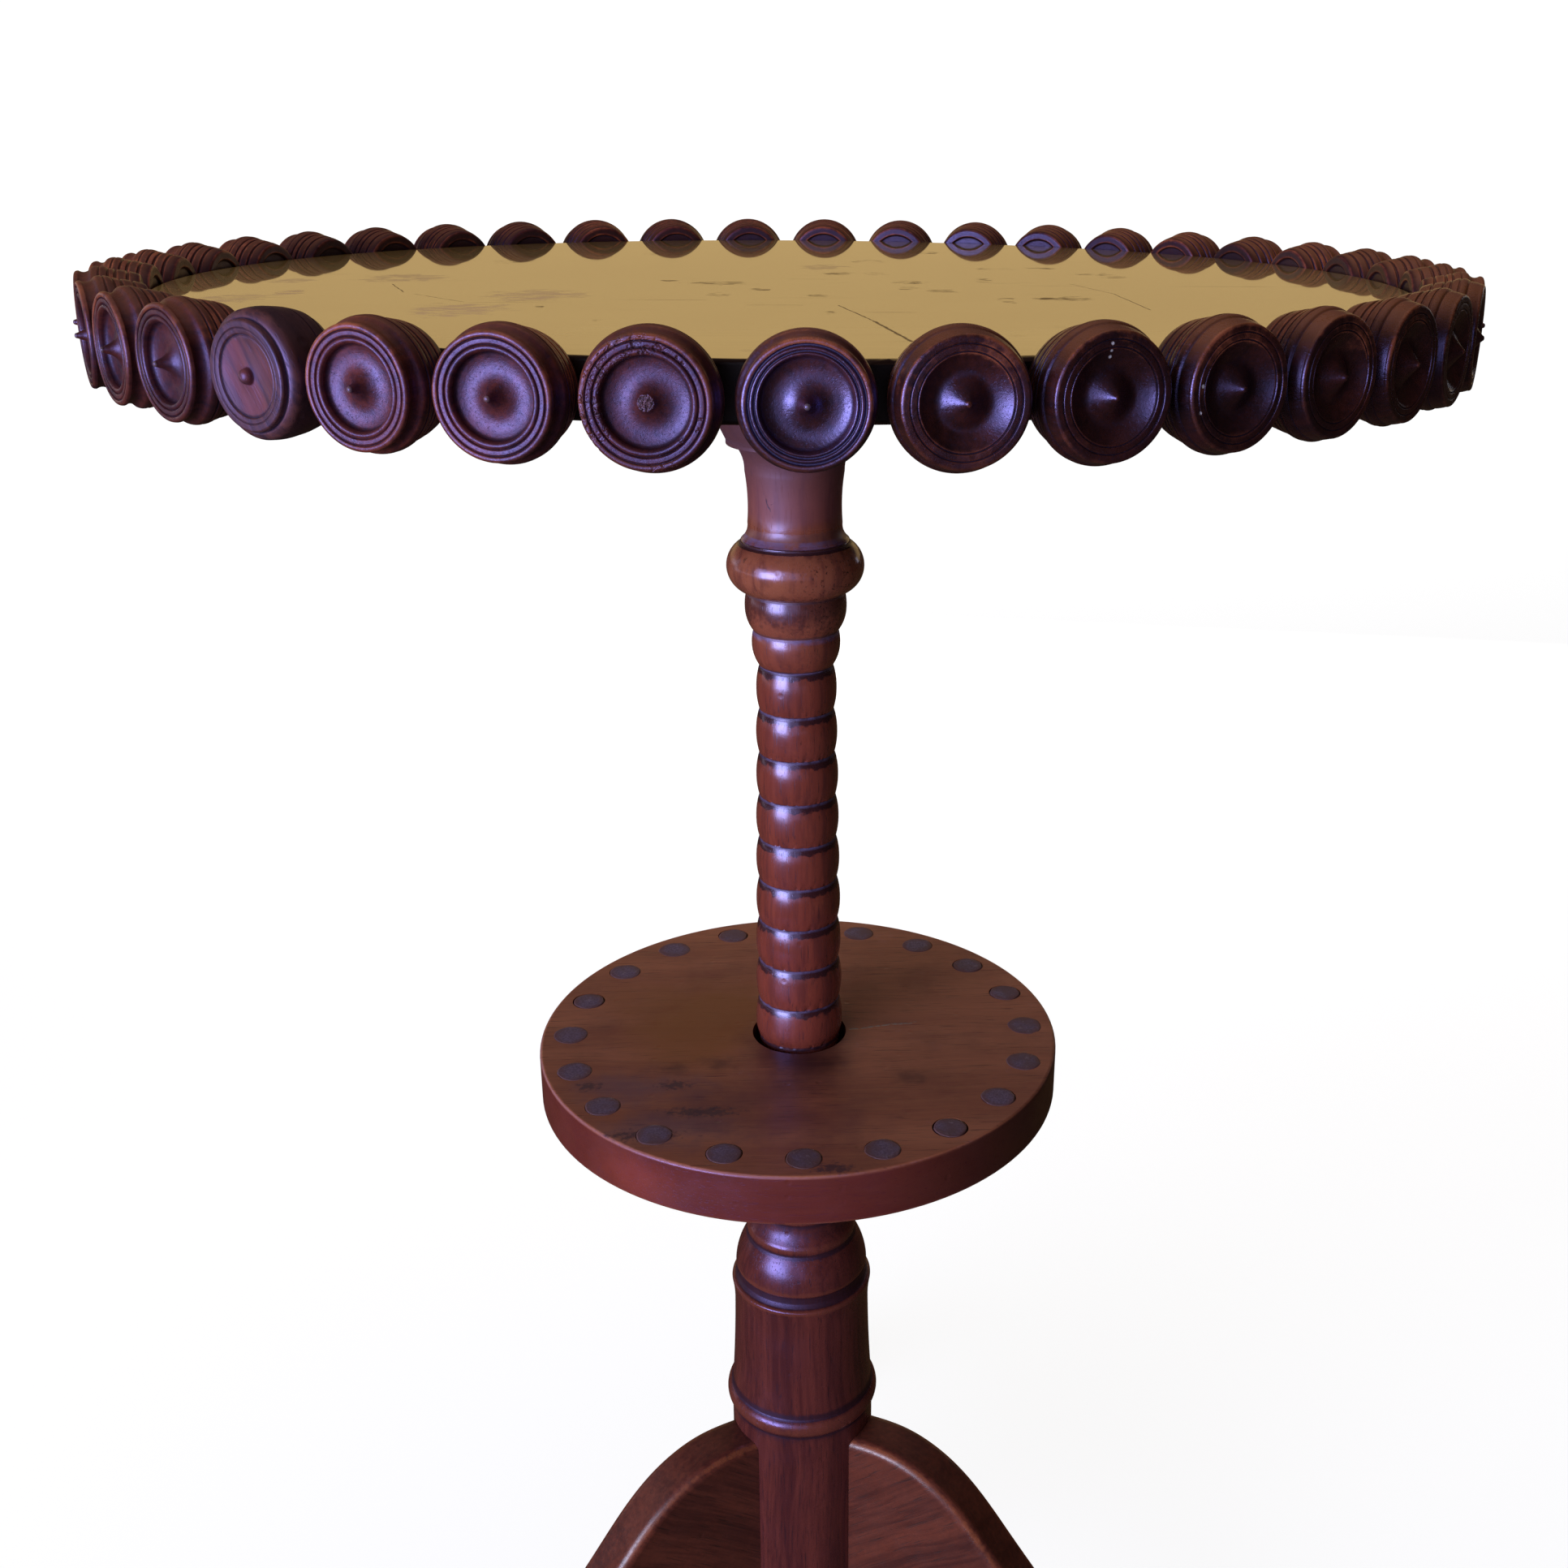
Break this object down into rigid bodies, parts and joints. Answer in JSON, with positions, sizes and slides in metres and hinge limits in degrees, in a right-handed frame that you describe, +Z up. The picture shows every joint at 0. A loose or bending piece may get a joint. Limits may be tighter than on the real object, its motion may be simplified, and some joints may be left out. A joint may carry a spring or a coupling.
{
  "type": "tripod side table",
  "caption": "Round tripod side table: painted top rimmed with turned roundels, a ringed turned column, a round plugged shelf half way up and swept legs.",
  "frame": {"origin": "on the floor, on the column's axis", "axes": "+Z up along the column, -Y towards the viewer of the picture, +X to the viewer's right"},
  "size_m": [0.5528, 0.5523, 0.7503],
  "materials": {
    "painted_top": "worn ochre paint, semi-gloss",
    "roundel_wood": "dark polished mahogany",
    "replaced_roundel_wood": "dull purple-brown",
    "column_wood": "polished red-brown mahogany",
    "lower_column_wood": "dark polished mahogany",
    "shelf_wood": "worn polish, stained",
    "plug_wood": "dull grey-purple end grain",
    "leg_wood": "dark polished mahogany",
    "hidden_wood": "bare oiled wood",
    "iron": "dark wrought iron"
  },
  "bodies": {
    "root": {"top_board": "painted_top", "roundel_01": "roundel_wood", "roundel_02": "roundel_wood", "roundel_03": "roundel_wood", "roundel_04": "roundel_wood", "roundel_05": "roundel_wood", "roundel_06": "roundel_wood", "roundel_07": "roundel_wood", "roundel_08": "roundel_wood", "roundel_09": "roundel_wood", "roundel_10": "roundel_wood", "roundel_11": "roundel_wood", "roundel_12": "roundel_wood", "roundel_13": "roundel_wood", "roundel_14": "roundel_wood", "roundel_15": "roundel_wood", "roundel_16": "roundel_wood", "roundel_17": "roundel_wood", "roundel_18": "roundel_wood", "roundel_19": "roundel_wood", "roundel_20": "roundel_wood", "roundel_21": "roundel_wood", "roundel_22": "roundel_wood", "roundel_23": "roundel_wood", "roundel_24": "roundel_wood", "roundel_25": "roundel_wood", "roundel_26": "roundel_wood", "roundel_27": "roundel_wood", "roundel_28": "roundel_wood", "roundel_29": "roundel_wood", "roundel_30": "roundel_wood", "roundel_31": "roundel_wood", "roundel_32": "roundel_wood", "roundel_33": "roundel_wood", "roundel_34": "roundel_wood", "roundel_35": "roundel_wood", "roundel_36": "replaced_roundel_wood", "roundel_37": "roundel_wood", "roundel_38": "roundel_wood", "roundel_39": "roundel_wood", "roundel_pegs": "hidden_wood", "top_block": "hidden_wood", "block_screws": "iron", "upper_column": "column_wood", "tenon_wedge": "hidden_wood", "shelf": "shelf_wood", "shelf_plugs": "plug_wood", "shelf_screws": "iron", "lower_column": "lower_column_wood", "leg_1": "leg_wood", "leg_2": "leg_wood", "leg_3": "leg_wood", "spider_plate": "iron", "spider_screws": "iron"}
  },
  "joints": []
}
